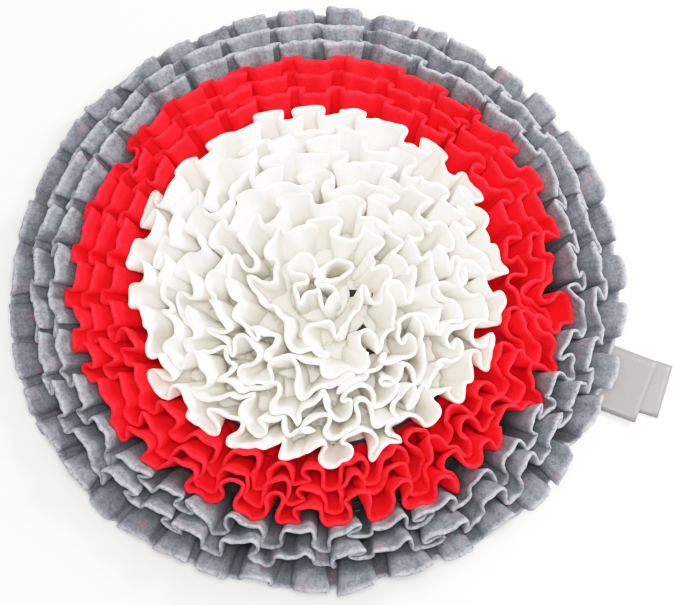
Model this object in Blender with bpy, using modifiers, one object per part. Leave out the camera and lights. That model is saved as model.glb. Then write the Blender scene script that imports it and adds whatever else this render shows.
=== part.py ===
"""Round snuffle mat: a felt base with thirteen rings of pleated fleece strip sewn on it. Metres, +Z up.

Each ring is one strip of fleece, sewn down along one long edge and free along the other. It leans
outwards over the ring outside it, so the rings lie like shingles: three grey, three red, seven cream.
The origin is the middle of the underside of the base.
"""

import math
import random
from collections import namedtuple

import bmesh
import bpy

# The base and the cloth.
BASE_RADIUS = 0.190
BASE_THICKNESS = 0.003
BASE_SIDES = 48
FLEECE_THICKNESS = 0.0024
STRIP_WIDTH = 0.040
PIECE_GAP = 0.0003
# How far a pleat's mitred corner reaches below the middle of the cloth, as a share of its thickness.
CORNER_REACH = 0.64
SEAM_HEIGHT = BASE_THICKNESS + PIECE_GAP + CORNER_REACH * FLEECE_THICKNESS

# The strips are combed over towards one side, where they lie flatter and their pleats are shallower.
COMBED_SIDE = math.radians(140)
COMBED_FLATTENING = 0.28

# A pleat's four corners: place is a fraction of its span, stand_off is 1 on the raised panel and 0 on the
# sunk one, and spread is the way that the corner moves where the panel that it ends widens.
Corner = namedtuple("Corner", "place stand_off spread")
PLEAT_CORNERS = (
    Corner(0.10, 0.0, 1.0),
    Corner(0.27, 1.0, -1.0),
    Corner(0.60, 1.0, 1.0),
    Corner(0.77, 0.0, -1.0),
)
SPAN_JITTER = 0.18
DEPTH_JITTER = 0.14

# One row for each ring, from the outside in. radius is the seam's; lean and swing are degrees from upright,
# swing being how much more the ring leans on the combed side; depth and seam_depth are the pleats' depth at
# the free and the sewn edge; overhang widens a pleat's top beyond its foot, as a fraction of its span;
# rings with the same seed have the same pleats, one nested in the other.
Ring = namedtuple("Ring", "name colour radius lean swing pleats depth seam_depth overhang seed")
RINGS = (
    Ring("grey_ruffle_1", "grey", 0.1860, 80, 5, 40, 0.0115, 0.0025, 0.015, 11),
    Ring("grey_ruffle_2", "grey", 0.1740, 50, 7, 36, 0.0085, 0.0025, 0.015, 12),
    Ring("grey_ruffle_3", "grey", 0.1620, 47, 7, 36, 0.0058, 0.0025, 0.015, 12),
    Ring("red_ruffle_1", "red", 0.1490, 46, 8, 32, 0.0088, 0.0025, 0.015, 21),
    Ring("red_ruffle_2", "red", 0.1370, 44, 8, 32, 0.0088, 0.0025, 0.015, 21),
    Ring("red_ruffle_3", "red", 0.1250, 41, 8, 32, 0.0080, 0.0025, 0.015, 21),
    Ring("cream_ruffle_1", "cream", 0.1100, 32, 4, 24, 0.0086, 0.0030, 0.090, 31),
    Ring("cream_ruffle_2", "cream", 0.0955, 24, 2, 20, 0.0092, 0.0030, 0.095, 32),
    Ring("cream_ruffle_3", "cream", 0.0810, 18, 1, 17, 0.0098, 0.0030, 0.095, 33),
    Ring("cream_ruffle_4", "cream", 0.0660, 14, 0, 13, 0.0100, 0.0030, 0.095, 34),
    Ring("cream_ruffle_5", "cream", 0.0510, 12, 0, 10, 0.0100, 0.0030, 0.095, 35),
    Ring("cream_ruffle_6", "cream", 0.0360, 10, 0, 7, 0.0100, 0.0030, 0.095, 36),
    Ring("cream_ruffle_7", "cream", 0.0200, 8, 0, 4, 0.0095, 0.0030, 0.080, 37),
)

# The care label's two leaves, sewn to the edge of the base and fanned on the surface beside it. side is the
# direction of the middle of the free end from the mat's middle, heading is the leaf's own direction.
LABEL_THICKNESS = 0.0010
LABEL_ROOT_RADIUS = BASE_RADIUS + 0.0006
Leaf = namedtuple("Leaf", "name reach side heading width root_height end_height curl")
LEAVES = (
    Leaf("care_label_under", 0.2586, -16.1, -18.1, 0.041, 0.0012, 0.0009, 0.0002),
    Leaf("care_label_top", 0.2456, -17.2, -22.5, 0.049, 0.0027, 0.0023, 0.0012),
)
LEAF_STEPS_ALONG = 4
LEAF_STEPS_ACROSS = 2

# Colour, roughness and metallic value of each cloth.
FINISHES = {
    "felt": ((0.035, 0.037, 0.042), 0.95, 0.0),
    "grey": ((0.300, 0.320, 0.350), 0.95, 0.0),
    "red": ((0.820, 0.015, 0.030), 0.90, 0.0),
    "cream": ((0.890, 0.860, 0.790), 0.95, 0.0),
    "satin": ((0.560, 0.550, 0.540), 0.55, 0.0),
}


def clear_scene():
    """Empties the scene."""
    for obj in list(bpy.data.objects):
        bpy.data.objects.remove(obj, do_unlink=True)


def make_material(name):
    """A plain Principled material of one of the finishes."""
    colour, roughness, metallic = FINISHES[name]
    material = bpy.data.materials.new(name)
    material.use_nodes = True
    shader = material.node_tree.nodes["Principled BSDF"]
    shader.inputs["Base Color"].default_value = (*colour, 1.0)
    shader.inputs["Roughness"].default_value = roughness
    shader.inputs["Metallic"].default_value = metallic
    return material


def add_piece(name, form, material, collection):
    """Makes an object from a bmesh, with its outward faces set, and puts it in the collection."""
    bmesh.ops.recalc_face_normals(form, faces=form.faces[:])
    mesh = bpy.data.meshes.new(name)
    form.to_mesh(mesh)
    form.free()
    mesh.materials.append(material)
    piece = bpy.data.objects.new(name, mesh)
    collection.objects.link(piece)
    return piece


def give_thickness(piece, thickness):
    """Turns an open sheet into cloth with its middle on the sheet."""
    solidify = piece.modifiers.new("cloth thickness", "SOLIDIFY")
    solidify.thickness = thickness
    solidify.offset = 0.0
    solidify.use_even_offset = True
    solidify.use_rim = True


def base_disc():
    """The round felt base, flat on both faces."""
    form = bmesh.new()
    bmesh.ops.create_cone(
        form,
        cap_ends=True,
        segments=BASE_SIDES,
        radius1=BASE_RADIUS,
        radius2=BASE_RADIUS,
        depth=BASE_THICKNESS,
    )
    bmesh.ops.translate(form, verts=form.verts[:], vec=(0.0, 0.0, BASE_THICKNESS / 2))
    return form


def pleat_spans(pleats, seed):
    """Each pleat's start angle, its span and its depth factor, uneven as hand pleating is."""
    rng = random.Random(seed)
    widths = [1.0 + rng.uniform(-SPAN_JITTER, SPAN_JITTER) for _ in range(pleats)]
    depths = [1.0 + rng.uniform(-DEPTH_JITTER, DEPTH_JITTER) for _ in range(pleats)]
    start = rng.uniform(0.0, 2.0 * math.pi / pleats)
    scale = 2.0 * math.pi / sum(widths)
    spans = []
    for width, depth in zip(widths, depths):
        spans.append((start, width * scale, depth))
        start += width * scale
    return spans


def strip_point(ring, angle, stand_off, up):
    """A point on the ring's strip: up is 0 at the seam and 1 at the free edge."""
    combed = math.cos(angle - COMBED_SIDE)
    lean = math.radians(ring.lean + ring.swing * combed)
    flattened = 1.0 - COMBED_FLATTENING * combed * min(1.0, ring.swing / 5.0)
    depth = ring.seam_depth + (ring.depth * flattened - ring.seam_depth) * up
    raised = stand_off * depth
    radius = ring.radius + up * STRIP_WIDTH * math.sin(lean) - raised * math.cos(lean)
    height = SEAM_HEIGHT + up * STRIP_WIDTH * math.cos(lean) + raised * math.sin(lean)
    return radius * math.cos(angle), radius * math.sin(angle), height


def ruffle_sheet(ring):
    """The strip's middle surface: box pleats all the way round, from the seam to the free edge."""
    form = bmesh.new()
    rows = []
    for up in (0.0, 1.0):
        row = []
        for start, span, depth in pleat_spans(ring.pleats, ring.seed):
            for corner in PLEAT_CORNERS:
                angle = start + span * (corner.place + up * ring.overhang * corner.spread)
                row.append(form.verts.new(strip_point(ring, angle, corner.stand_off * depth, up)))
        rows.append(row)
    count = len(rows[0])
    for k in range(count):
        after = (k + 1) % count
        form.faces.new((rows[0][k], rows[0][after], rows[1][after], rows[1][k]))
    return form


def label_sheet(leaf):
    """One leaf of the label: from the edge of the base to its free end, easing down on the surface."""
    heading = math.radians(leaf.heading)
    side = math.radians(leaf.side)
    end = (leaf.reach * math.cos(side), leaf.reach * math.sin(side))
    along = (math.cos(heading), math.sin(heading))
    across = (-along[1], along[0])
    form = bmesh.new()
    grid = []
    for i in range(LEAF_STEPS_ACROSS + 1):
        s = leaf.width * (i / LEAF_STEPS_ACROSS - 0.5)
        tip = (end[0] + across[0] * s, end[1] + across[1] * s)
        # How far back along the leaf the edge of the base is.
        forward = tip[0] * along[0] + tip[1] * along[1]
        aside = tip[0] * across[0] + tip[1] * across[1]
        length = forward - math.sqrt(LABEL_ROOT_RADIUS**2 - aside**2)
        column = []
        for j in range(LEAF_STEPS_ALONG + 1):
            t = j / LEAF_STEPS_ALONG
            back = length * (1.0 - t)
            ease = t * t * (3.0 - 2.0 * t)
            height = leaf.root_height + (leaf.end_height - leaf.root_height) * ease
            height += leaf.curl * t**3
            column.append(form.verts.new((tip[0] - along[0] * back, tip[1] - along[1] * back, height)))
        grid.append(column)
    for i in range(LEAF_STEPS_ACROSS):
        for j in range(LEAF_STEPS_ALONG):
            form.faces.new((grid[i][j], grid[i][j + 1], grid[i + 1][j + 1], grid[i + 1][j]))
    return form


def build():
    """Makes every piece of the mat."""
    clear_scene()
    mat = bpy.data.collections.new("snuffle_mat")
    bpy.context.scene.collection.children.link(mat)
    materials = {name: make_material(name) for name in FINISHES}
    add_piece("base_felt", base_disc(), materials["felt"], mat)
    for ring in RINGS:
        strip = add_piece(ring.name, ruffle_sheet(ring), materials[ring.colour], mat)
        give_thickness(strip, FLEECE_THICKNESS)
    for leaf in LEAVES:
        sheet = add_piece(leaf.name, label_sheet(leaf), materials["satin"], mat)
        give_thickness(sheet, LABEL_THICKNESS)


build()
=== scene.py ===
"""A round snuffle mat: settled fleece ruffles on a felt base, a blank satin label, and soft light."""

import math
import random
from collections import namedtuple

import bpy
import numpy as np
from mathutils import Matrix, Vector


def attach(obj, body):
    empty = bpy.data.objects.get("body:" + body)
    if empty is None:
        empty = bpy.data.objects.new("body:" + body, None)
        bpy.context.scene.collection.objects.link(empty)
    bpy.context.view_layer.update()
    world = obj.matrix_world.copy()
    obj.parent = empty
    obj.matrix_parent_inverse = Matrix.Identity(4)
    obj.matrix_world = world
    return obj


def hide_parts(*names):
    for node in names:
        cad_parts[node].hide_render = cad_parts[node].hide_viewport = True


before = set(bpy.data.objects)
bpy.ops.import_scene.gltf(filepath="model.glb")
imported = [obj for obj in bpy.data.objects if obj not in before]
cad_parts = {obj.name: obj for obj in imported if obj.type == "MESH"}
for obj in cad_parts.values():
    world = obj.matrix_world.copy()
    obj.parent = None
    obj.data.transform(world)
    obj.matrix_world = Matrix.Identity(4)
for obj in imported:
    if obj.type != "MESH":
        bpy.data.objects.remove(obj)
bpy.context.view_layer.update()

# ---------------------------------------------------------------------------------------------------------
# The camera, the floor and the light. The mat is seen from its near side, almost from above.
# ---------------------------------------------------------------------------------------------------------
CAMERA_ELEVATION = math.radians(72.0)
CAMERA_DISTANCE = 1.50
VIEW_WIDTH = 0.490
SENSOR_WIDTH = 36.0
AIM = Vector((0.0145, -0.0095, 0.018))
LAMP_COLOUR = (1.0, 0.982, 0.95)
SURROUND_STRENGTH = 0.52
FLOOR_HALF = 4.0
FLOOR_COLOUR = (0.93, 0.93, 0.93, 1.0)
FLOOR_ROUGHNESS = 0.9

# A camera's response, as light and what it shows as: the middle tones are lifted, and the brightest parts of
# the pale cloth keep their shape.
RESPONSE = ((0.1, 0.105), (0.25, 0.33), (0.45, 0.62), (0.7, 0.84), (1.0, 0.95))
RESPONSE_END = (1.5, 1.0)
BRIGHTEST_READ = 2.0
ALL_CHANNELS = 3


def put_in_scene(name, data):
    """Adds an object with this camera, lamp or mesh to the scene."""
    added = bpy.data.objects.new(name, data)
    bpy.context.scene.collection.objects.link(added)
    return added


camera_data = bpy.data.cameras.new("camera")
camera_data.sensor_width = SENSOR_WIDTH
camera_data.lens = SENSOR_WIDTH * CAMERA_DISTANCE / VIEW_WIDTH
camera_data.clip_start = 0.01
camera = put_in_scene("camera", camera_data)
towards_camera = Vector((0.0, -math.cos(CAMERA_ELEVATION), math.sin(CAMERA_ELEVATION)))
camera.location = AIM + CAMERA_DISTANCE * towards_camera
camera.rotation_euler = towards_camera.to_track_quat("Z", "Y").to_euler()
bpy.context.scene.camera = camera


def add_softbox(name, place, size, power):
    """A square area light that faces the middle of the mat."""
    lamp = bpy.data.lights.new(name, "AREA")
    lamp.shape = "SQUARE"
    lamp.size = size
    lamp.energy = power
    lamp.color = LAMP_COLOUR
    softbox = put_in_scene(name, lamp)
    softbox.location = place
    softbox.rotation_euler = Vector(place).to_track_quat("Z", "Y").to_euler()


add_softbox("key", place=(1.10, 0.55, 0.95), size=0.6, power=17.0)
add_softbox("overhead", place=(0.06, -0.46, 1.62), size=0.45, power=13.0)

surroundings = bpy.data.worlds.new("studio")
bpy.context.scene.world = surroundings
surroundings.use_nodes = True
background = surroundings.node_tree.nodes["Background"]
background.inputs["Color"].default_value = (1.0, 1.0, 1.0, 1.0)
background.inputs["Strength"].default_value = SURROUND_STRENGTH

view = bpy.context.scene.view_settings
view.view_transform = "Standard"
view.use_curve_mapping = True
view.curve_mapping.clip_max_x = BRIGHTEST_READ
tone = view.curve_mapping.curves[ALL_CHANNELS]
tone.points[1].location = RESPONSE_END
for light_in, light_out in RESPONSE:
    tone.points.new(light_in, light_out)
view.curve_mapping.update()

floor_mesh = bpy.data.meshes.new("floor")
floor_mesh.from_pydata(
    [(x * FLOOR_HALF, y * FLOOR_HALF, 0.0) for x, y in ((-1, -1), (1, -1), (1, 1), (-1, 1))],
    [],
    [(0, 1, 2, 3)],
)
floor = put_in_scene("floor", floor_mesh)
floor_paint = bpy.data.materials.new("pale floor")
floor_paint.use_nodes = True
floor_shader = floor_paint.node_tree.nodes["Principled BSDF"]
floor_shader.inputs["Base Color"].default_value = FLOOR_COLOUR
floor_shader.inputs["Roughness"].default_value = FLOOR_ROUGHNESS
floor_mesh.materials.append(floor_paint)


# ---------------------------------------------------------------------------------------------------------
# The base: a disc of dense charcoal felt with a soft cut edge. Each row of stitches that holds a ruffle pulls
# a shallow groove into its underside.
# ---------------------------------------------------------------------------------------------------------
MM = 0.001
BASE_RADIUS = 190.0
BASE_THICKNESS = 3.0
BASE_SIDES = 192
EDGE_ROUNDING = 1.1
EDGE_STEPS = 8
SEAM_RADII = (186.0, 174.0, 162.0, 149.0, 137.0, 125.0, 110.0, 95.5, 81.0, 66.0, 51.0, 36.0, 20.0)
GROOVE_HALF_WIDTH = 1.6
GROOVE_DEPTH = 0.7
# Across a groove, as a share of its half width, and its depth there, as a share of the full depth.
GROOVE_PROFILE = ((-1.0, 0.0), (-0.45, 0.8), (0.0, 1.0), (0.45, 0.8), (1.0, 0.0))
FELT_DARK = (0.030, 0.034, 0.036, 1)
FELT_PALE = (0.085, 0.092, 0.096, 1)
FELT_CONTRAST = 1.6
# Texture Coordinate's output for the object's own coordinates, in metres.
OBJECT_COORDINATES = 3


class Value:
    """A shader socket that can be used in Python expressions."""

    def __init__(self, finish, socket):
        self.finish = finish
        self.socket = socket

    def _math(self, operation, *values):
        return self.finish.node("ShaderNodeMath", {"operation": operation}, dict(enumerate(values)))

    def __add__(self, other):
        return self._math("ADD", self, other)

    def __sub__(self, other):
        return self._math("SUBTRACT", self, other)

    def __rsub__(self, other):
        return self._math("SUBTRACT", other, self)

    def __mul__(self, other):
        return self._math("MULTIPLY", self, other)

    def __pow__(self, other):
        return self._math("POWER", self, other)

    __radd__ = __add__
    __rmul__ = __mul__

    def clamped(self):
        return self.finish.node("ShaderNodeClamp", {}, {"Value": self})


class Finish:
    """A material whose nodes are made one call at a time."""

    def __init__(self, name):
        self.material = bpy.data.materials.new(name)
        self.material.use_nodes = True
        self.tree = self.material.node_tree
        self.shader = self.tree.nodes["Principled BSDF"]

    def node(self, kind, settings, sockets, output=0):
        """Adds a node: its settings first, then a value or a link for each named or numbered socket."""
        made = self.tree.nodes.new(kind)
        for key, value in settings.items():
            setattr(made, key, value)
        for key, value in sockets.items():
            self.feed(made.inputs[key], value)
        return Value(self, made.outputs[output])

    def feed(self, target, value):
        if isinstance(value, Value):
            self.tree.links.new(value.socket, target)
        else:
            target.default_value = value

    def mixed(self, factor, low, high):
        """A colour mix. The Mix node keeps its colour sockets after its number and vector ones."""
        sockets = {0: factor, 6: low, 7: high}
        return self.node("ShaderNodeMix", {"data_type": "RGBA"}, sockets, output=2)

    def on_body(self):
        """The piece's own coordinates, in metres."""
        return self.node("ShaderNodeTexCoord", {}, {}, output=OBJECT_COORDINATES)

    def noise(self, where, scale, detail, roughness):
        sockets = {"Vector": where, "Scale": scale, "Detail": detail, "Roughness": roughness}
        return self.node("ShaderNodeTexNoise", {}, sockets)

    def stretched(self, where, scale):
        return self.node("ShaderNodeMapping", {}, {"Vector": where, "Scale": scale})

    def axis(self, where, letter):
        """One coordinate of a place."""
        return self.node("ShaderNodeSeparateXYZ", {}, {"Vector": where}, output="XYZ".index(letter))

    def bump(self, height, strength, distance):
        sockets = {"Strength": strength, "Distance": distance, "Height": height}
        return self.node("ShaderNodeBump", {}, sockets)

    def surface(self, **sockets):
        """Sets or links the shader's sockets. An underscore stands for a space in a socket's name."""
        for name, value in sockets.items():
            self.feed(self.shader.inputs[name.replace("_", " ")], value)


def turned_shape(name, profile):
    """A closed solid turned from a profile of (radius, height) points in millimetres, from axis to axis."""
    points = [(0.0, 0.0, profile[0][1] * MM)]
    for radius, height in profile[1:-1]:
        for k in range(BASE_SIDES):
            angle = 2 * math.pi * k / BASE_SIDES
            points.append((radius * MM * math.cos(angle), radius * MM * math.sin(angle), height * MM))
    points.append((0.0, 0.0, profile[-1][1] * MM))
    rings = len(profile) - 2
    faces = []
    for k in range(BASE_SIDES):
        after = (k + 1) % BASE_SIDES
        faces.append((0, 1 + after, 1 + k))
        for ring in range(rings - 1):
            low = 1 + ring * BASE_SIDES
            high = low + BASE_SIDES
            faces.append((low + k, low + after, high + after, high + k))
        last = 1 + (rings - 1) * BASE_SIDES
        faces.append((last + k, last + after, len(points) - 1))
    mesh = bpy.data.meshes.new(name)
    mesh.from_pydata(points, [], faces)
    mesh.shade_smooth()
    return put_in_scene(name, mesh)


underside = [(0.0, 0.0)]
for seam in sorted(SEAM_RADII):
    for aside, share in GROOVE_PROFILE:
        underside.append((seam + aside * GROOVE_HALF_WIDTH, share * GROOVE_DEPTH))
edge = []
for step in range(EDGE_STEPS + 1):
    angle = math.pi * (step / EDGE_STEPS - 0.5)
    radius = BASE_RADIUS - EDGE_ROUNDING * (1 - math.cos(angle))
    edge.append((radius, BASE_THICKNESS / 2 * (1 + math.sin(angle))))
base = turned_shape("felt_base", underside + edge + [(0.0, BASE_THICKNESS)])

felt = Finish("charcoal felt")
felt_body = felt.on_body()
felt_clumps = felt.noise(felt_body, scale=160.0, detail=4.0, roughness=0.6)
felt_fibres = felt.noise(felt_body, scale=1500.0, detail=3.0, roughness=0.7)
felt_shade = ((felt_clumps + felt_fibres - 1.0) * FELT_CONTRAST + 0.5).clamped()
felt.surface(Base_Color=felt.mixed(felt_shade, FELT_DARK, FELT_PALE))
felt_height = felt_clumps * 0.5 + felt_fibres * 0.5
felt.surface(Normal=felt.bump(felt_height, strength=0.4, distance=0.0006))
felt.surface(Roughness=0.95, Specular_IOR_Level=0.2)
base.data.materials.append(felt.material)
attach(base, "root")
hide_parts("base_felt")


# ---------------------------------------------------------------------------------------------------------
# The ruffles: thirteen strips of brushed fleece, each box-pleated by hand and sewn down along one long edge,
# so that it stands up and leans outwards over the next. The free edges push against each other.
# ---------------------------------------------------------------------------------------------------------
STRIP_WIDTH = 40.0
FLEECE_THICKNESS = 2.9
SEAM_HEIGHT = 4.84
COMBED_SIDE = math.radians(140)

# Lengths here are millimetres. radius, pleats and seed are the solids' own. lean is where the strip starts,
# in degrees from upright, and swing how much more it leans on the combed side. fall is how far the cut cloth
# would fold off the strip's plane if nothing were in its way, and seam_fall the same at the seam. loop is how
# far the folds overhang, square how flat their panels are, and curl a second, smaller fold within each pleat.
Ruffle = namedtuple("Ruffle", "name colour radius lean swing pleats seed fall seam_fall loop square curl")
RUFFLES = (
    Ruffle("grey_ruffle_1", "grey", 186.0, 75, 8, 40, 11, 12, 11.4, 0.16, 1.0, 0.0),
    Ruffle("grey_ruffle_2", "grey", 174.0, 56, 5, 36, 12, 14, 9.0, 0.15, 1.4, 1.0),
    Ruffle("grey_ruffle_3", "grey", 162.0, 51, 6, 36, 12, 14, 8.5, 0.15, 1.4, 1.0),
    Ruffle("red_ruffle_1", "red", 149.0, 46, 8, 32, 21, 18, 9.2, 0.14, 0.9, 1.5),
    Ruffle("red_ruffle_2", "red", 137.0, 44, 8, 32, 21, 17, 8.5, 0.14, 0.9, 1.5),
    Ruffle("red_ruffle_3", "red", 125.0, 41, 8, 32, 21, 17, 8.5, 0.14, 0.9, 1.5),
    Ruffle("cream_ruffle_1", "cream", 110.0, 36, 5, 24, 31, 17, 11.2, 0.16, 0.5, 4.0),
    Ruffle("cream_ruffle_2", "cream", 95.5, 30, 4, 20, 32, 17, 11.6, 0.18, 0.5, 4.5),
    Ruffle("cream_ruffle_3", "cream", 81.0, 26, 3, 17, 33, 17, 11.2, 0.18, 0.5, 5.0),
    Ruffle("cream_ruffle_4", "cream", 66.0, 24, 0, 13, 34, 16.5, 12.2, 0.18, 0.5, 5.0),
    Ruffle("cream_ruffle_5", "cream", 51.0, 22, 0, 10, 35, 17, 11.8, 0.18, 0.5, 5.0),
    Ruffle("cream_ruffle_6", "cream", 36.0, 15, 0, 7, 36, 17, 11.2, 0.18, 0.5, 5.0),
    Ruffle("cream_ruffle_7", "cream", 20.0, -3, 0, 4, 37, 19, 11.0, 0.2, 0.5, 4.0),
)
SPAN_JITTER = 0.18
DEPTH_JITTER = 0.14
ROWS = 11
COLUMN_STEP = 3.2
POINTS_PER_PLEAT = 200
SEAM_SQUARE = 1.5
# How far before the middle of its span the middle of a pleat's raised panel lies, as a share of the span.
PANEL_SHIFT = 0.065
# How the folds of the grey and red ruffles differ on the combed side.
COMBED_SQUARER = 1.6
COMBED_LOOP_LESS = 0.1
COMBED_FALL_LESS = 0.35
# The second fold's size, as shares of curl: on average, how much less on the combed side, and at the seam.
CURL_SHARE = 0.65
COMBED_CURL_LESS = 0.35
SEAM_CURL_SHARE = 0.65
# The share of the full fall that each colour's folds start with.
START_SHARE = {"grey": 0.42, "red": 0.36, "cream": 0.34}

# How uneven each colour's folds are: lean in degrees, sway in spans, fall as a share. The unevenness is a sum
# of three waves round the ring, with this many waves to a pleat.
WAVES_PER_PLEAT = (0.23, 0.41, 0.77)
CURL_SWAY = 2.0
Looseness = namedtuple("Looseness", "lean sway fall")
LOOSENESS = {
    "grey": Looseness(7.5, 0.36, 0.34),
    "red": Looseness(5.0, 0.25, 0.22),
    "cream": Looseness(8.0, 0.42, 0.25),
}

# How much the raised panels of a pleat are widened, and how much more on the combed side; and how far the
# sunk panels of the grey ruffles stay back, so that their edges are scalloped.
WIDENING = {"grey": (0.055, 0.045), "red": (0.02, 0.08), "cream": (0.0, 0.0)}
STAY_BACK = {"grey_ruffle_1": 9.5, "grey_ruffle_2": 2.0, "grey_ruffle_3": 2.0}


def pleat_spans(pleats, seed):
    """Start angle, span and depth factor of each pleat, the same as the solids have."""
    rng = random.Random(seed)
    widths = [1.0 + rng.uniform(-SPAN_JITTER, SPAN_JITTER) for _ in range(pleats)]
    depths = [1.0 + rng.uniform(-DEPTH_JITTER, DEPTH_JITTER) for _ in range(pleats)]
    start = rng.uniform(0.0, 2.0 * math.pi / pleats)
    scale = 2.0 * math.pi / sum(widths)
    rows = []
    for width, depth in zip(widths, depths):
        rows.append((start, width * scale, depth))
        start += width * scale
    return np.array(rows)


def unevenness(ruffle, what, size):
    """A function of angle that wavers smoothly by about size each way, since no two folds are alike."""
    rng = random.Random(f"{what} {ruffle.seed}")
    waves = []
    for share in WAVES_PER_PLEAT:
        waves.append((max(1, round(ruffle.pleats * share)), rng.uniform(0, 2 * math.pi)))
    return lambda angle: size * sum(np.sin(count * angle + phase) for count, phase in waves) / 2


def folded_strip(ruffle, place, up, share, spans):
    """Points on a pleated strip. place counts pleats round the ring, up is 0 at the seam and 1 at the free
    edge, and share is how much of the full fall the folds have."""
    loose = LOOSENESS[ruffle.colour]
    pleat = np.floor(place).astype(int) % ruffle.pleats
    along = place - np.floor(place)
    start, span, depth = spans[pleat].T
    angle = start + span * along
    combed = np.cos(angle - COMBED_SIDE)
    flat_side = (0.5 + 0.5 * combed) * (ruffle.colour != "cream")
    wide, wider = WIDENING[ruffle.colour]
    turn = along + PANEL_SHIFT
    turn += (wide + wider * flat_side) * np.sin(2 * np.pi * turn)
    square = SEAM_SQUARE + (ruffle.square + COMBED_SQUARER * flat_side - SEAM_SQUARE) * up
    stand_off = 0.5 - 0.5 * np.tanh(square * np.cos(2 * np.pi * turn)) / np.tanh(square)
    loop = ruffle.loop * (1 - COMBED_LOOP_LESS * flat_side)
    overhang = loop * math.sqrt(share) * np.sin(4 * np.pi * turn)
    overhang += unevenness(ruffle, "sway", loose.sway)(angle) * (stand_off - 0.5)
    lean = ruffle.lean + ruffle.swing * combed + unevenness(ruffle, "lean", loose.lean)(angle) * up
    lean = np.radians(lean)
    deeper = depth * (1.0 + unevenness(ruffle, "fall", loose.fall)(angle))
    deeper *= 1.0 - COMBED_FALL_LESS * (2 * flat_side - 1) * (ruffle.colour != "cream")
    raised = stand_off * (ruffle.seam_fall + (ruffle.fall * deeper * share - ruffle.seam_fall) * up)
    curl = np.sin(4 * np.pi * turn + unevenness(ruffle, "curl", CURL_SWAY)(angle))
    curl = curl * (CURL_SHARE - COMBED_CURL_LESS * combed)
    raised += ruffle.curl * curl * (SEAM_CURL_SHARE + (math.sqrt(share) - SEAM_CURL_SHARE) * up)
    angle = angle + span * overhang * up
    radius = ruffle.radius + up * STRIP_WIDTH * np.sin(lean) - raised * np.cos(lean)
    radius -= STAY_BACK.get(ruffle.name, 0.0) * (1.0 - flat_side) * (1.0 - stand_off) * up
    height = SEAM_HEIGHT + up * STRIP_WIDTH * np.cos(lean) + raised * np.sin(lean)
    return np.stack([radius * np.cos(angle), radius * np.sin(angle), height], axis=-1)


def lay_out(ruffle):
    """The strip's grid of points as it is cut, folded to its full fall, and as it starts, folded less."""
    spans = pleat_spans(ruffle.pleats, ruffle.seed)
    fine = np.linspace(0, ruffle.pleats, ruffle.pleats * POINTS_PER_PLEAT, endpoint=False)
    edge = folded_strip(ruffle, fine, 1.0, 1.0, spans)
    steps = np.linalg.norm(np.roll(edge, -1, axis=0) - edge, axis=1)
    length = steps.sum()
    travelled = np.concatenate([[0.0], np.cumsum(steps)])
    count = int(round(length / COLUMN_STEP))
    ends = np.append(fine, ruffle.pleats)
    place = np.interp(np.arange(count) * length / count, travelled, ends)
    rows = np.linspace(0.0, 1.0, ROWS)
    share = START_SHARE[ruffle.colour]
    full = np.stack([folded_strip(ruffle, place, up, 1.0, spans) for up in rows], axis=1)
    start = np.stack([folded_strip(ruffle, place, up, share, spans) for up in rows], axis=1)
    return full, start


def close_pairs(points, reach):
    """Every pair of points nearer than reach, found by sorting them into cubes of that size."""
    cube = np.floor(points / reach).astype(np.int64)
    cube -= cube.min(axis=0) - 1
    deep = cube[:, 2].max() + 3
    wide = cube[:, 1].max() + 3
    key = (cube[:, 0] * wide + cube[:, 1]) * deep + cube[:, 2]
    order = np.argsort(key, kind="stable")
    key = key[order]
    every = np.arange(len(points))
    firsts = []
    seconds = []

    def add_runs(low, high):
        count = high - low
        some = count > 0
        low, count = low[some], count[some]
        firsts.append(np.repeat(every[some], count))
        within = np.arange(count.sum()) - np.repeat(np.cumsum(count) - count, count)
        seconds.append(np.repeat(low, count) + within)

    add_runs(every + 1, np.searchsorted(key, key + 1, "right"))
    for across, away in ((0, 1), (1, -1), (1, 0), (1, 1)):
        beside = key + (across * wide + away) * deep
        add_runs(np.searchsorted(key, beside - 1, "left"), np.searchsorted(key, beside + 1, "right"))
    first = order[np.concatenate(firsts)]
    second = order[np.concatenate(seconds)]
    apart = points[first] - points[second]
    near = (apart * apart).sum(axis=1) < reach * reach
    return first[near], second[near]


def lengths(ends, starts):
    """The distance from each start to its end."""
    return np.sqrt(((ends - starts) ** 2).sum(axis=-1))


def pull(ends, starts, rest, stiffness):
    """The move that brings each start towards its rest length from its end."""
    apart = ends - starts
    now = np.maximum(np.sqrt((apart * apart).sum(axis=-1)), LEAST_LENGTH)
    return apart * (stiffness * (now - rest) / now)[..., None]


# How the strips settle. In each round every point keeps some of its speed, shared with the points round it.
ROUNDS = 520
GROW_ROUNDS = 0.6 * ROUNDS
SPEED_KEPT = 0.85
MOST_SPEED = 0.8
SHARED_ALONG = (0.4, 0.3)
SHARED_ACROSS = (0.5, 0.25)
GUIDE_PULL = 0.0015
LEAST_LENGTH = 1e-3
# The cloth's give: what part of a stretch one pull takes out, first between neighbours, then between points
# further apart, which keeps the cloth from creasing sharply, and last on the slant.
STRETCH_PASSES = 2
STRETCH = 0.3
HOP = 0.22
LEAP = 0.12
ACROSS_TWO = 0.25
ACROSS_FIVE = 0.2
SLANT = 0.08
# The strips' middles keep CLOTH_REACH apart. Pairs of points that may meet are looked for every PAIR_ROUNDS
# rounds and PAIR_MARGIN further off, but not among a point's neighbours in its own strip.
CLOTH_REACH = 3.2
PAIR_ROUNDS = 10
PAIR_MARGIN = 1.3
NEIGHBOURS = 2
LEAST_GAP = 0.05
# How low the cloth's middle may come, over the base and over the floor beside it.
BASE_REACH = 191.0
LOWEST_ON_BASE = 4.4
LOWEST_BESIDE = 1.5


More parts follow.
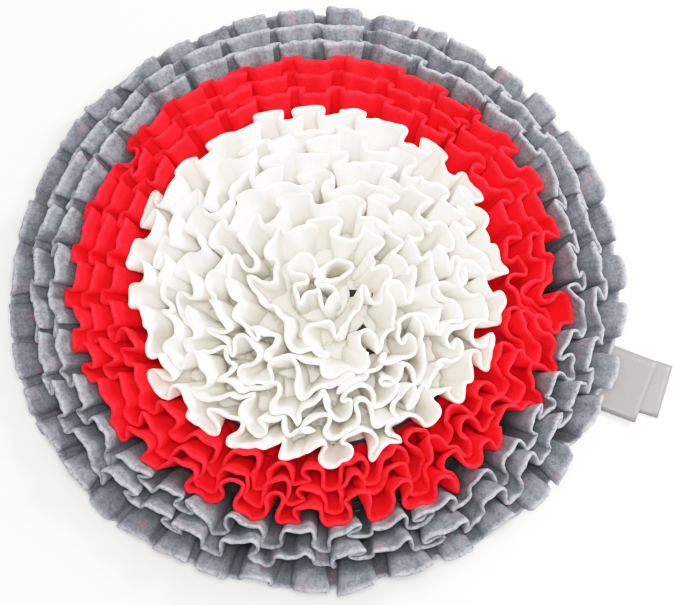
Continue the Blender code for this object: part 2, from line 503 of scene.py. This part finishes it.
def settle(full, start, ring_of, after):
    """Lets the strips grow from their starting folds to their full length while they keep off each other.
    Each grid has a row of points for each column of a strip. ring_of is the strip that a column is in, and
    after the column that follows it round the ring."""
    full = full.astype(np.float32)
    cloth = start.astype(np.float32)
    columns = len(cloth)
    before = np.empty_like(after)
    before[after] = np.arange(columns)
    second = after[after]
    fourth = second[second]
    sizes = np.bincount(ring_of)
    local = np.arange(columns) - (np.cumsum(sizes) - sizes)[ring_of]
    ring_size = sizes[ring_of]

    def rests(grid):
        return (
            lengths(grid[after], grid),
            lengths(grid[second], grid),
            lengths(grid[fourth], grid),
            lengths(grid[after][:, 1:], grid[:, :-1]),
            lengths(grid[after][:, :-1], grid[:, 1:]),
        )

    def pull_along(further, rest, stiffness):
        move = pull(cloth[further], cloth, rest, stiffness)
        cloth[:] += move
        cloth[further] -= move

    def pull_across(gap, rest, stiffness):
        move = pull(cloth[:, gap:], cloth[:, :-gap], rest, stiffness)
        cloth[:, :-gap] += move
        cloth[:, gap:] -= move

    def pull_slant(near, far, rest):
        beside = cloth[after]
        beside[:, far] -= pull(beside[:, far], cloth[:, near], rest, SLANT)
        cloth[after] = beside

    def nearby_pairs():
        first, other = close_pairs(cloth.reshape(-1, 3), CLOTH_REACH + PAIR_MARGIN)
        left, right = first // ROWS, other // ROWS
        away = np.abs(local[left] - local[right])
        away = np.minimum(away, ring_size[left] - away)
        neighbours = (ring_of[left] == ring_of[right]) & (away <= NEIGHBOURS)
        neighbours &= np.abs(first % ROWS - other % ROWS) <= NEIGHBOURS
        return first[~neighbours], other[~neighbours]

    cut = rests(full)
    begun = rests(cloth)
    rise = lengths(full[:, 1:], full[:, :-1])
    rise_two = lengths(full[:, 2:], full[:, :-2])
    rise_five = lengths(full[:, 5:], full[:, :-5])
    seam = cloth[:, 0].copy()
    guide = cloth.copy()
    speed = np.zeros_like(cloth)
    points = cloth.reshape(-1, 3)
    total = len(points)
    own, shared = SHARED_ALONG
    own_across, shared_across = SHARED_ACROSS
    for turn in range(ROUNDS):
        grown = min(1.0, (turn + 1) / GROW_ROUNDS)
        step, hop, leap, down, up = (b + (c - b) * grown for b, c in zip(begun, cut))
        speed *= SPEED_KEPT
        speed = own * speed + shared * (speed[after] + speed[before])
        speed[:, 1:-1] = own_across * speed[:, 1:-1] + shared_across * (speed[:, 2:] + speed[:, :-2])
        last = cloth.copy()
        cloth += speed
        cloth[:, 0] = seam
        for _ in range(STRETCH_PASSES):
            pull_along(after, step, STRETCH)
            pull_across(1, rise, STRETCH)
        pull_along(second, hop, HOP)
        pull_along(fourth, leap, LEAP)
        pull_slant(slice(None, -1), slice(1, None), down)
        pull_slant(slice(1, None), slice(None, -1), up)
        pull_across(2, rise_two, ACROSS_TWO)
        pull_across(5, rise_five, ACROSS_FIVE)
        cloth += (guide - cloth) * GUIDE_PULL
        if turn % PAIR_ROUNDS == 0:
            first, other = nearby_pairs()
        apart = points[first] - points[other]
        square = (apart * apart).sum(axis=1)
        touching = square < CLOTH_REACH**2
        one, two = first[touching], other[touching]
        gap = np.maximum(np.sqrt(square[touching]), LEAST_GAP)
        push = apart[touching] * (0.5 * (CLOTH_REACH - gap) / gap)[:, None]
        meetings = np.bincount(one, minlength=total) + np.bincount(two, minlength=total)
        ease = 1.0 / np.maximum(1.0, 0.5 * meetings + 0.5)
        for axis in range(3):
            force = np.bincount(one, weights=push[:, axis], minlength=total)
            force -= np.bincount(two, weights=push[:, axis], minlength=total)
            points[:, axis] += (force * ease).astype(np.float32)
        over_base = np.hypot(cloth[..., 0], cloth[..., 1]) < BASE_REACH
        lowest = np.where(over_base, LOWEST_ON_BASE, LOWEST_BESIDE)
        cloth[..., 2] = np.maximum(cloth[..., 2], lowest)
        cloth[:, 0] = seam
        speed = np.clip(cloth - last, -MOST_SPEED, MOST_SPEED)
    return cloth


grids = [lay_out(ruffle) for ruffle in RUFFLES]
column_counts = [len(grid[0]) for grid in grids]
first_columns = np.concatenate([[0], np.cumsum(column_counts)[:-1]])
next_column = np.concatenate(
    [base + (np.arange(count) + 1) % count for base, count in zip(first_columns, column_counts)]
)
settled = settle(
    np.concatenate([grid[0] for grid in grids]),
    np.concatenate([grid[1] for grid in grids]),
    np.repeat(np.arange(len(RUFFLES)), column_counts),
    next_column,
)


# The fleece's colour. Heights up the strip are metres from its seam. Below the first height the colour is
# turned towards a painted shade for the hollows between rows, and above LIP_ABOVE the free edge takes a
# painted highlight. A change is complete in 1 / its grading.
SEAM_SHADE_BELOW = 0.030
SEAM_SHADE_GRADING = 42.0
LIP_ABOVE = 0.0355
LIP_GRADING = 250.0
STREAK_CONTRAST = 2.2
STREAK_SHARE = 0.35
STREAK_STRENGTH = 0.5
LINT_AND_BOUNCE_GRADING = 40.0
LINT_AND_BOUNCE_PATCHINESS = 5.0
LINT_AND_BOUNCE_STRENGTH = 0.6
TUFT_CONTRAST = 2.6
TUFT_GAPS = 0.6
CLUMP_HEIGHT = 0.6
FIBRE_HEIGHT = 0.4


def fleece(name, deep, pale, streak, contrast, sheen, glow, reach, seam_shade, lip_highlight, lint_and_bounce=None):
    """Brushed fleece: a soft pile of fine fibres, mottled in clumps, with the pile's lie across the strip.
    The pattern follows the strip's own length and width, in metres. Light goes reach into the pile. Towards
    the seam the colour is turned to a painted shade, for the hollows where the rows shade each other, and at
    the free edge to a painted highlight, in tufts. The last, optional argument is a tint outside a radius: on
    the grey, the lint that the red leaves on it; on the cream, a painted reflection of light from the red. It
    gives the tint's colour, the radius where it starts, and how widely it has spread."""
    finish = Finish(name)
    strip = finish.node("ShaderNodeUVMap", {"uv_map": "strip"}, {})
    body = finish.on_body()
    clumps = finish.noise(body, scale=420.0, detail=4.0, roughness=0.6)
    lie = finish.stretched(strip, (1.0, 0.35, 1.0))
    fibres = finish.noise(lie, scale=1900.0, detail=3.0, roughness=0.6)
    long_lie = finish.stretched(strip, (1.0, 0.22, 1.0))
    streaks = finish.noise(long_lie, scale=170.0, detail=3.0, roughness=0.65)
    shade = (0.5 * clumps + 0.5 * fibres - 0.5) * contrast + 0.5
    base_colour = finish.mixed(shade.clamped(), deep, pale)
    amount = ((streaks - 0.5) * STREAK_CONTRAST + STREAK_SHARE).clamped() * STREAK_STRENGTH
    brushed = finish.mixed(amount, base_colour, streak)
    up = finish.axis(strip, "Y")
    # Painted shade: towards the seam the colour is darkened, for the hollows where the rows shade each other.
    seam_shade_mask = ((SEAM_SHADE_BELOW - up) * SEAM_SHADE_GRADING).clamped()
    tufts = (TUFT_CONTRAST * clumps - TUFT_GAPS).clamped()
    # Painted highlight: the free edge is lightened in tufts, where it catches the light.
    cut = ((up - LIP_ABOVE) * LIP_GRADING).clamped() * tufts
    # The cloth's colour with its painted shade near the seam and painted highlight on the free edge.
    colour_and_painted_light = finish.mixed(cut, finish.mixed(seam_shade_mask, brushed, seam_shade), lip_highlight)
    # A tint outside a radius: on the grey the red's lint, on the cream a painted reflection of light from the
    # red.
    if lint_and_bounce:
        colour, start, spread = lint_and_bounce
        east, north = finish.axis(body, "X"), finish.axis(body, "Y")
        beyond = (((east * east + north * north) ** 0.5 - start) * LINT_AND_BOUNCE_GRADING).clamped()
        specks = finish.noise(body, scale=75.0, detail=2.0, roughness=0.5)
        patches = ((specks - 0.5) * LINT_AND_BOUNCE_PATCHINESS + spread).clamped()
        colour_and_painted_light = finish.mixed(beyond * patches * LINT_AND_BOUNCE_STRENGTH, colour_and_painted_light, colour)
    finish.surface(Base_Color=colour_and_painted_light)
    height = CLUMP_HEIGHT * clumps + FIBRE_HEIGHT * fibres
    finish.surface(Normal=finish.bump(height, strength=0.6, distance=0.0014))
    finish.surface(Roughness=0.95, Sheen_Weight=sheen, Sheen_Roughness=0.6, Sheen_Tint=pale)
    finish.surface(Specular_IOR_Level=0.1, Subsurface_Weight=glow)
    finish.surface(Subsurface_Radius=reach, Subsurface_Scale=1.0)
    return finish


heather_grey = fleece(
    "heather grey fleece",
    deep=(0.064, 0.070, 0.080, 1),
    pale=(0.292, 0.304, 0.338, 1),
    streak=(0.33, 0.345, 0.38, 1),
    contrast=2.4,
    sheen=0.25,
    glow=0.0,
    reach=(0.001, 0.001, 0.001),
    # Painted shade near the seam, then painted highlight on the free edge:
    seam_shade=(0.026, 0.028, 0.034, 1),
    lip_highlight=(0.410, 0.424, 0.465, 1),
    lint_and_bounce=((0.36, 0.19, 0.22, 1), 0.150, -0.50),
)
scarlet = fleece(
    "scarlet fleece",
    deep=(0.700, 0.005, 0.012, 1),
    pale=(0.960, 0.020, 0.036, 1),
    streak=(0.95, 0.018, 0.032, 1),
    contrast=1.8,
    sheen=0.15,
    glow=0.3,
    reach=(0.006, 0.001, 0.001),
    # Painted shade near the seam, then painted highlight on the free edge:
    seam_shade=(0.800, 0.005, 0.012, 1),
    lip_highlight=(0.980, 0.040, 0.064, 1),
)
cream = fleece(
    "cream fleece",
    deep=(0.945, 0.905, 0.835, 1),
    pale=(0.985, 0.960, 0.905, 1),
    streak=(0.98, 0.952, 0.895, 1),
    contrast=1.2,
    sheen=0.1,
    glow=0.35,
    reach=(0.004, 0.003, 0.0025),
    # Painted shade near the seam, then painted highlight on the free edge:
    seam_shade=(0.985, 0.945, 0.875, 1),
    lip_highlight=(0.985, 0.945, 0.880, 1),
    # Painted reflection: a pink tint of light from the red on the outer cream.
    lint_and_bounce=((0.965, 0.70, 0.69, 1), 0.112, 0.60),
)
CLOTHS = {"grey": heather_grey, "red": scarlet, "cream": cream}
# The rows of the settled grid that the cloth keeps, and how uneven its hand-cut edge is, in millimetres.
KEPT_ROWS = [0, 2, 4, 6, 8, 9, 10]
RAGGED = {"grey": 0.55, "red": 0.35, "cream": 0.30}


def give_thickness(piece, thickness):
    """Turns an open sheet into cloth with its middle on the sheet."""
    cloth = piece.modifiers.new("cloth thickness", "SOLIDIFY")
    cloth.thickness = thickness
    cloth.offset = 0.0


def sew_ruffle(ruffle, grid, sewn):
    """Makes one ruffle from its settled grid: the sheet, its thickness and its soft edge. The strip is as
    long as its free edge, because only the seam gathers it. The edge is cut by hand, so it is ragged."""
    count = len(grid)
    length = lengths(np.roll(grid[:, -1], -1, axis=0), grid[:, -1]).sum()
    hand = np.random.default_rng(int(ruffle.radius))
    kept = grid[:, KEPT_ROWS] * MM
    kept[:, -1] += hand.normal(0.0, RAGGED[ruffle.colour], (count, 3)) * MM
    rows = len(KEPT_ROWS)
    faces = []
    for k in range(count):
        here, following = k * rows, (k + 1) % count * rows
        for j in range(rows - 1):
            faces.append((here + j, following + j, following + j + 1, here + j + 1))
    mesh = bpy.data.meshes.new(ruffle.name + "_cloth")
    mesh.from_pydata(kept.reshape(-1, 3).tolist(), [], faces)
    step = length * MM / count
    up = np.array(KEPT_ROWS) / (ROWS - 1) * STRIP_WIDTH * MM
    column = np.repeat(np.arange(count), rows - 1)
    row = np.tile(np.arange(rows - 1), count)
    corners = []
    for ahead, above in ((0, 0), (1, 0), (1, 1), (0, 1)):
        corners.append(np.stack([(column + ahead) * step, up[row + above]], axis=-1))
    layer = mesh.uv_layers.new(name="strip")
    layer.data.foreach_set("uv", np.stack(corners, axis=1).astype(np.float32).ravel())
    mesh.shade_smooth()
    mesh.materials.append(CLOTHS[ruffle.colour].material)
    piece = put_in_scene(ruffle.name + "_cloth", mesh)
    give_thickness(piece, FLEECE_THICKNESS * MM)
    softness = piece.modifiers.new("soft edge", "SUBSURF")
    softness.levels = 1
    softness.render_levels = 1
    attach(piece, "root")
    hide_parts(ruffle.name)


# ---------------------------------------------------------------------------------------------------------
# The sewn edges: below its seam each strip is folded in flat on the base, gathered, and stitched through it.
# ---------------------------------------------------------------------------------------------------------
FOLDED_IN = {"grey": 10.5, "red": 10.5, "cream": 15.2}
MIDDLE_FOLDED_IN = 19.4
# Where an edge is folded in short, so that the felt shows: direction and half width in degrees.
SHORT_PLACES = {
    "cream_ruffle_4": ((213.0, 6.0), (-49.0, 5.0)),
    "cream_ruffle_5": ((1.5, 11.0), (-40.0, 7.0)),
    "cream_ruffle_6": ((4.0, 9.0),),
}
SHORTEST_SHARE = 0.15
FOLD_HEIGHT = 4.5
OUTSIDE_SEAM = 1.5
MIDDLE_ROW_SHARE = 0.45
EDGE_WAVER = 0.6
GATHER_STEP = 3.0
GATHER_HEIGHT = 0.5
EDGE_ROWS = 4
EDGE_ROW_STEP = 4.0
EDGE_SEED = 500


def folded_edge(ruffle):
    """The flat gathered edge inside a seam, in the ruffle's own cloth."""
    rng = random.Random(EDGE_SEED + ruffle.seed + int(ruffle.radius))
    count = int(2 * math.pi * ruffle.radius / GATHER_STEP)
    inwards = MIDDLE_FOLDED_IN if ruffle is RUFFLES[-1] else FOLDED_IN[ruffle.colour]
    waver = [rng.uniform(-1.0, 1.0) for _ in range(count)]
    points = []
    for k in range(count):
        angle = 2 * math.pi * k / count
        rise = GATHER_HEIGHT * math.cos(math.pi * k) if count % 2 == 0 else 0.0
        share = 1.0
        for direction, half_width in SHORT_PLACES.get(ruffle.name, ()):
            aside = abs((math.degrees(angle) - direction + 180.0) % 360.0 - 180.0)
            share = min(share, max(SHORTEST_SHARE, min(1.0, aside / half_width)))
        middle = MIDDLE_ROW_SHARE * inwards * share
        furthest = (inwards + EDGE_WAVER * waver[k]) * share
        for reach in (-OUTSIDE_SEAM, 0.0, middle, furthest):
            radius = (ruffle.radius - reach) * MM
            height = (FOLD_HEIGHT + rise * min(1.0, max(0.0, reach) / inwards)) * MM
            points.append((radius * math.cos(angle), radius * math.sin(angle), height))
    faces = []
    for k in range(count):
        here, after = k * EDGE_ROWS, (k + 1) % count * EDGE_ROWS
        for j in range(EDGE_ROWS - 1):
            faces.append((here + j, here + j + 1, after + j + 1, after + j))
    mesh = bpy.data.meshes.new(ruffle.name + "_sewn_edge")
    mesh.from_pydata(points, [], faces)
    corner = np.array([loop.vertex_index for loop in mesh.loops])
    column, row = corner // EDGE_ROWS, corner % EDGE_ROWS
    strip = np.stack([column * GATHER_STEP * MM, row * (EDGE_ROW_STEP * MM)], axis=-1)
    mesh.uv_layers.new(name="strip").data.foreach_set("uv", strip.ravel())
    mesh.shade_smooth()
    mesh.materials.append(CLOTHS[ruffle.colour].material)
    edge_piece = put_in_scene(ruffle.name + "_sewn_edge", mesh)
    give_thickness(edge_piece, FLEECE_THICKNESS * MM)
    return edge_piece


# ---------------------------------------------------------------------------------------------------------
# The stitches: each seam is one row of lockstitch in a thread near the cloth's colour, seen on the sewn edge
# above the base and in the groove below it.
# ---------------------------------------------------------------------------------------------------------
STITCH_LENGTH = 3.4
STITCH_PITCH = 4.2
THREAD_RADIUS = 0.32
UPPER_STITCH_HEIGHT = 6.1
LOWER_STITCH_HEIGHT = 0.38
SEAM_SIDES = 128
THREAD_SIDES = 6
STITCH_SIZES = (
    "Seam Radius",
    "Stitch Length",
    "Stitch Pitch",
    "Thread Radius",
    "Upper Height",
    "Lower Height",
)


def thread_material(name, colour):
    finish = Finish(name)
    finish.surface(Base_Color=colour, Roughness=0.55, Specular_IOR_Level=0.3)
    return finish.material


THREADS = {
    "grey": thread_material("grey thread", (0.20, 0.21, 0.24, 1)),
    "red": thread_material("red thread", (0.55, 0.01, 0.02, 1)),
    "cream": thread_material("cream thread", (0.80, 0.77, 0.70, 1)),
}


def stitch_rows():
    """A node group that lays stitches end to end round a circle above and below the base."""
    group = bpy.data.node_groups.new("stitch rows", "GeometryNodeTree")
    face = group.interface
    face.new_socket("Geometry", in_out="OUTPUT", socket_type="NodeSocketGeometry")
    for size in STITCH_SIZES:
        face.new_socket(size, in_out="INPUT", socket_type="NodeSocketFloat")
    face.new_socket("Thread", in_out="INPUT", socket_type="NodeSocketMaterial")
    nodes, links = group.nodes, group.links
    given = nodes.new("NodeGroupInput").outputs

    def add(kind, sockets, output=0, **settings):
        made = nodes.new(kind)
        for key, value in settings.items():
            setattr(made, key, value)
        for key, value in sockets.items():
            if isinstance(value, bpy.types.NodeSocket):
                links.new(value, made.inputs[key])
            else:
                made.inputs[key].default_value = value
        return made.outputs[output]

    def divided(top, bottom):
        return add("ShaderNodeMath", {0: top, 1: bottom}, operation="DIVIDE")

    def multiplied(one, two):
        return add("ShaderNodeMath", {0: one, 1: two}, operation="MULTIPLY")

    seam = {"Resolution": SEAM_SIDES, "Radius": given["Seam Radius"]}
    circle = add("GeometryNodeCurvePrimitiveCircle", seam)
    around = multiplied(given["Seam Radius"], 2 * math.pi)
    count = divided(around, given["Stitch Pitch"])
    points = nodes.new("GeometryNodeCurveToPoints")
    points.mode = "COUNT"
    links.new(circle, points.inputs["Curve"])
    links.new(count, points.inputs["Count"])
    half = multiplied(given["Stitch Length"], 0.5)
    back = add("ShaderNodeCombineXYZ", {"Z": multiplied(half, -1.0)})
    ahead = add("ShaderNodeCombineXYZ", {"Z": half})
    line = add("GeometryNodeCurvePrimitiveLine", {"Start": back, "End": ahead})
    thread = {"Resolution": THREAD_SIDES, "Radius": given["Thread Radius"]}
    profile = add("GeometryNodeCurvePrimitiveCircle", thread)
    swept = {"Curve": line, "Profile Curve": profile, "Fill Caps": True}
    stitch = add("GeometryNodeCurveToMesh", swept)
    rows = nodes.new("GeometryNodeJoinGeometry")
    for height in (given["Upper Height"], given["Lower Height"]):
        lift = add("ShaderNodeCombineXYZ", {"Z": height})
        raised = {"Geometry": points.outputs["Points"], "Offset": lift}
        placed = add("GeometryNodeSetPosition", raised)
        laid = {"Points": placed, "Instance": stitch, "Rotation": points.outputs["Rotation"]}
        links.new(add("GeometryNodeInstanceOnPoints", laid), rows.inputs["Geometry"])
    whole = add("GeometryNodeRealizeInstances", {"Geometry": rows.outputs["Geometry"]})
    threaded = add("GeometryNodeSetMaterial", {"Geometry": whole, "Material": given["Thread"]})
    links.new(threaded, nodes.new("NodeGroupOutput").inputs["Geometry"])
    return group


STITCH_ROWS = stitch_rows()


def grown(name, group, **inputs):
    """The mesh that a node group makes with these inputs, as a plain object."""
    seedling = put_in_scene(name, bpy.data.meshes.new(name))
    modifier = seedling.modifiers.new(name, "NODES")
    modifier.node_group = group
    sockets = {s.name: s.identifier for s in group.interface.items_tree if s.in_out == "INPUT"}
    for label, value in inputs.items():
        modifier[sockets[label.replace("_", " ")]] = value
    bpy.context.view_layer.update()
    ready = seedling.evaluated_get(bpy.context.evaluated_depsgraph_get())
    mesh = bpy.data.meshes.new_from_object(ready)
    seedling.modifiers.remove(modifier)
    seedling.data = mesh
    return seedling


def sew_seam(ruffle):
    """The row of stitches of one ruffle."""
    row = grown(
        ruffle.name + "_stitches",
        STITCH_ROWS,
        Seam_Radius=ruffle.radius * MM,
        Stitch_Length=STITCH_LENGTH * MM,
        Stitch_Pitch=STITCH_PITCH * MM,
        Thread_Radius=THREAD_RADIUS * MM,
        Upper_Height=UPPER_STITCH_HEIGHT * MM,
        Lower_Height=LOWER_STITCH_HEIGHT * MM,
        Thread=THREADS[ruffle.colour],
    )
    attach(row, "root")
    return row


for ruffle, first_column, count in zip(RUFFLES, first_columns, column_counts):
    sewn = folded_edge(ruffle)
    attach(sewn, "root")
    sew_ruffle(ruffle, settled[first_column : first_column + count], [sewn, sew_seam(ruffle)])

# ---------------------------------------------------------------------------------------------------------
# The care label: two blank leaves of satin ribbon, sewn to the edge of the base and fanned on the surface
# beside it. The upper leaf lifts a little at its free end.
# ---------------------------------------------------------------------------------------------------------
LABEL_ROOT_RADIUS = 190.6
LABEL_THICKNESS = 0.9
LEAF_STEPS_ALONG = 16
LEAF_STEPS_ACROSS = 8
CORNER_LIFT = 0.5
SATIN_DEEP = (0.235, 0.228, 0.230, 1)
SATIN_PALE = (0.315, 0.306, 0.309, 1)
Leaf = namedtuple("Leaf", "name reach side heading width root_height end_height curl")
LEAVES = (
    Leaf("care_label_under", 258.6, -16.1, -18.1, 41.0, 1.2, 0.9, 0.2),
    Leaf("care_label_top", 245.6, -17.2, -22.5, 49.0, 2.7, 2.3, 1.2),
)

satin = Finish("pale satin ribbon")
satin_lie = satin.stretched(satin.on_body(), (1.0, 0.2, 1.0))
satin_weave = satin.noise(satin_lie, scale=3000.0, detail=2.0, roughness=0.5)
satin.surface(Base_Color=satin.mixed(satin_weave, SATIN_DEEP, SATIN_PALE))
satin.surface(Normal=satin.bump(satin_weave, strength=0.15, distance=0.0002))
satin.surface(Roughness=0.42, Specular_IOR_Level=0.4)


def ribbon_leaf(leaf):
    """One leaf, from the edge of the base to its free end. Its flat length is measured down its middle."""
    heading, side = math.radians(leaf.heading), math.radians(leaf.side)
    end = (leaf.reach * math.cos(side), leaf.reach * math.sin(side))
    along = (math.cos(heading), math.sin(heading))
    across = (-along[1], along[0])
    points = []
    strand_lengths = []
    for i in range(LEAF_STEPS_ACROSS + 1):
        from_middle = leaf.width * (i / LEAF_STEPS_ACROSS - 0.5)
        from_middle_share = abs(2 * i / LEAF_STEPS_ACROSS - 1)
        tip = (end[0] + across[0] * from_middle, end[1] + across[1] * from_middle)
        forward = tip[0] * along[0] + tip[1] * along[1]
        aside = tip[0] * across[0] + tip[1] * across[1]
        length = forward - math.sqrt(LABEL_ROOT_RADIUS**2 - aside**2)
        strand_lengths.append(length)
        for j in range(LEAF_STEPS_ALONG + 1):
            t = j / LEAF_STEPS_ALONG
            back = length * (1.0 - t)
            ease = t * t * (3.0 - 2.0 * t)
            height = leaf.root_height + (leaf.end_height - leaf.root_height) * ease
            height += leaf.curl * (t**3 + CORNER_LIFT * t**2 * from_middle_share**2)
            x, y = tip[0] - along[0] * back, tip[1] - along[1] * back
            points.append((x * MM, y * MM, height * MM))
    faces = []
    stride = LEAF_STEPS_ALONG + 1
    for i in range(LEAF_STEPS_ACROSS):
        for j in range(LEAF_STEPS_ALONG):
            k = i * stride + j
            faces.append((k, k + 1, k + stride + 1, k + stride))
    mesh = bpy.data.meshes.new(leaf.name + "_ribbon")
    mesh.from_pydata(points, [], faces)
    mesh.shade_smooth()
    mesh.materials.append(satin.material)
    ribbon = put_in_scene(leaf.name + "_ribbon", mesh)
    give_thickness(ribbon, LABEL_THICKNESS * MM)
    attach(ribbon, "root")
    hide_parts(leaf.name)
    mean_length = sum(strand_lengths) / len(strand_lengths)
    round(mean_length * MM, 4)


for leaf in LEAVES:
    ribbon_leaf(leaf)
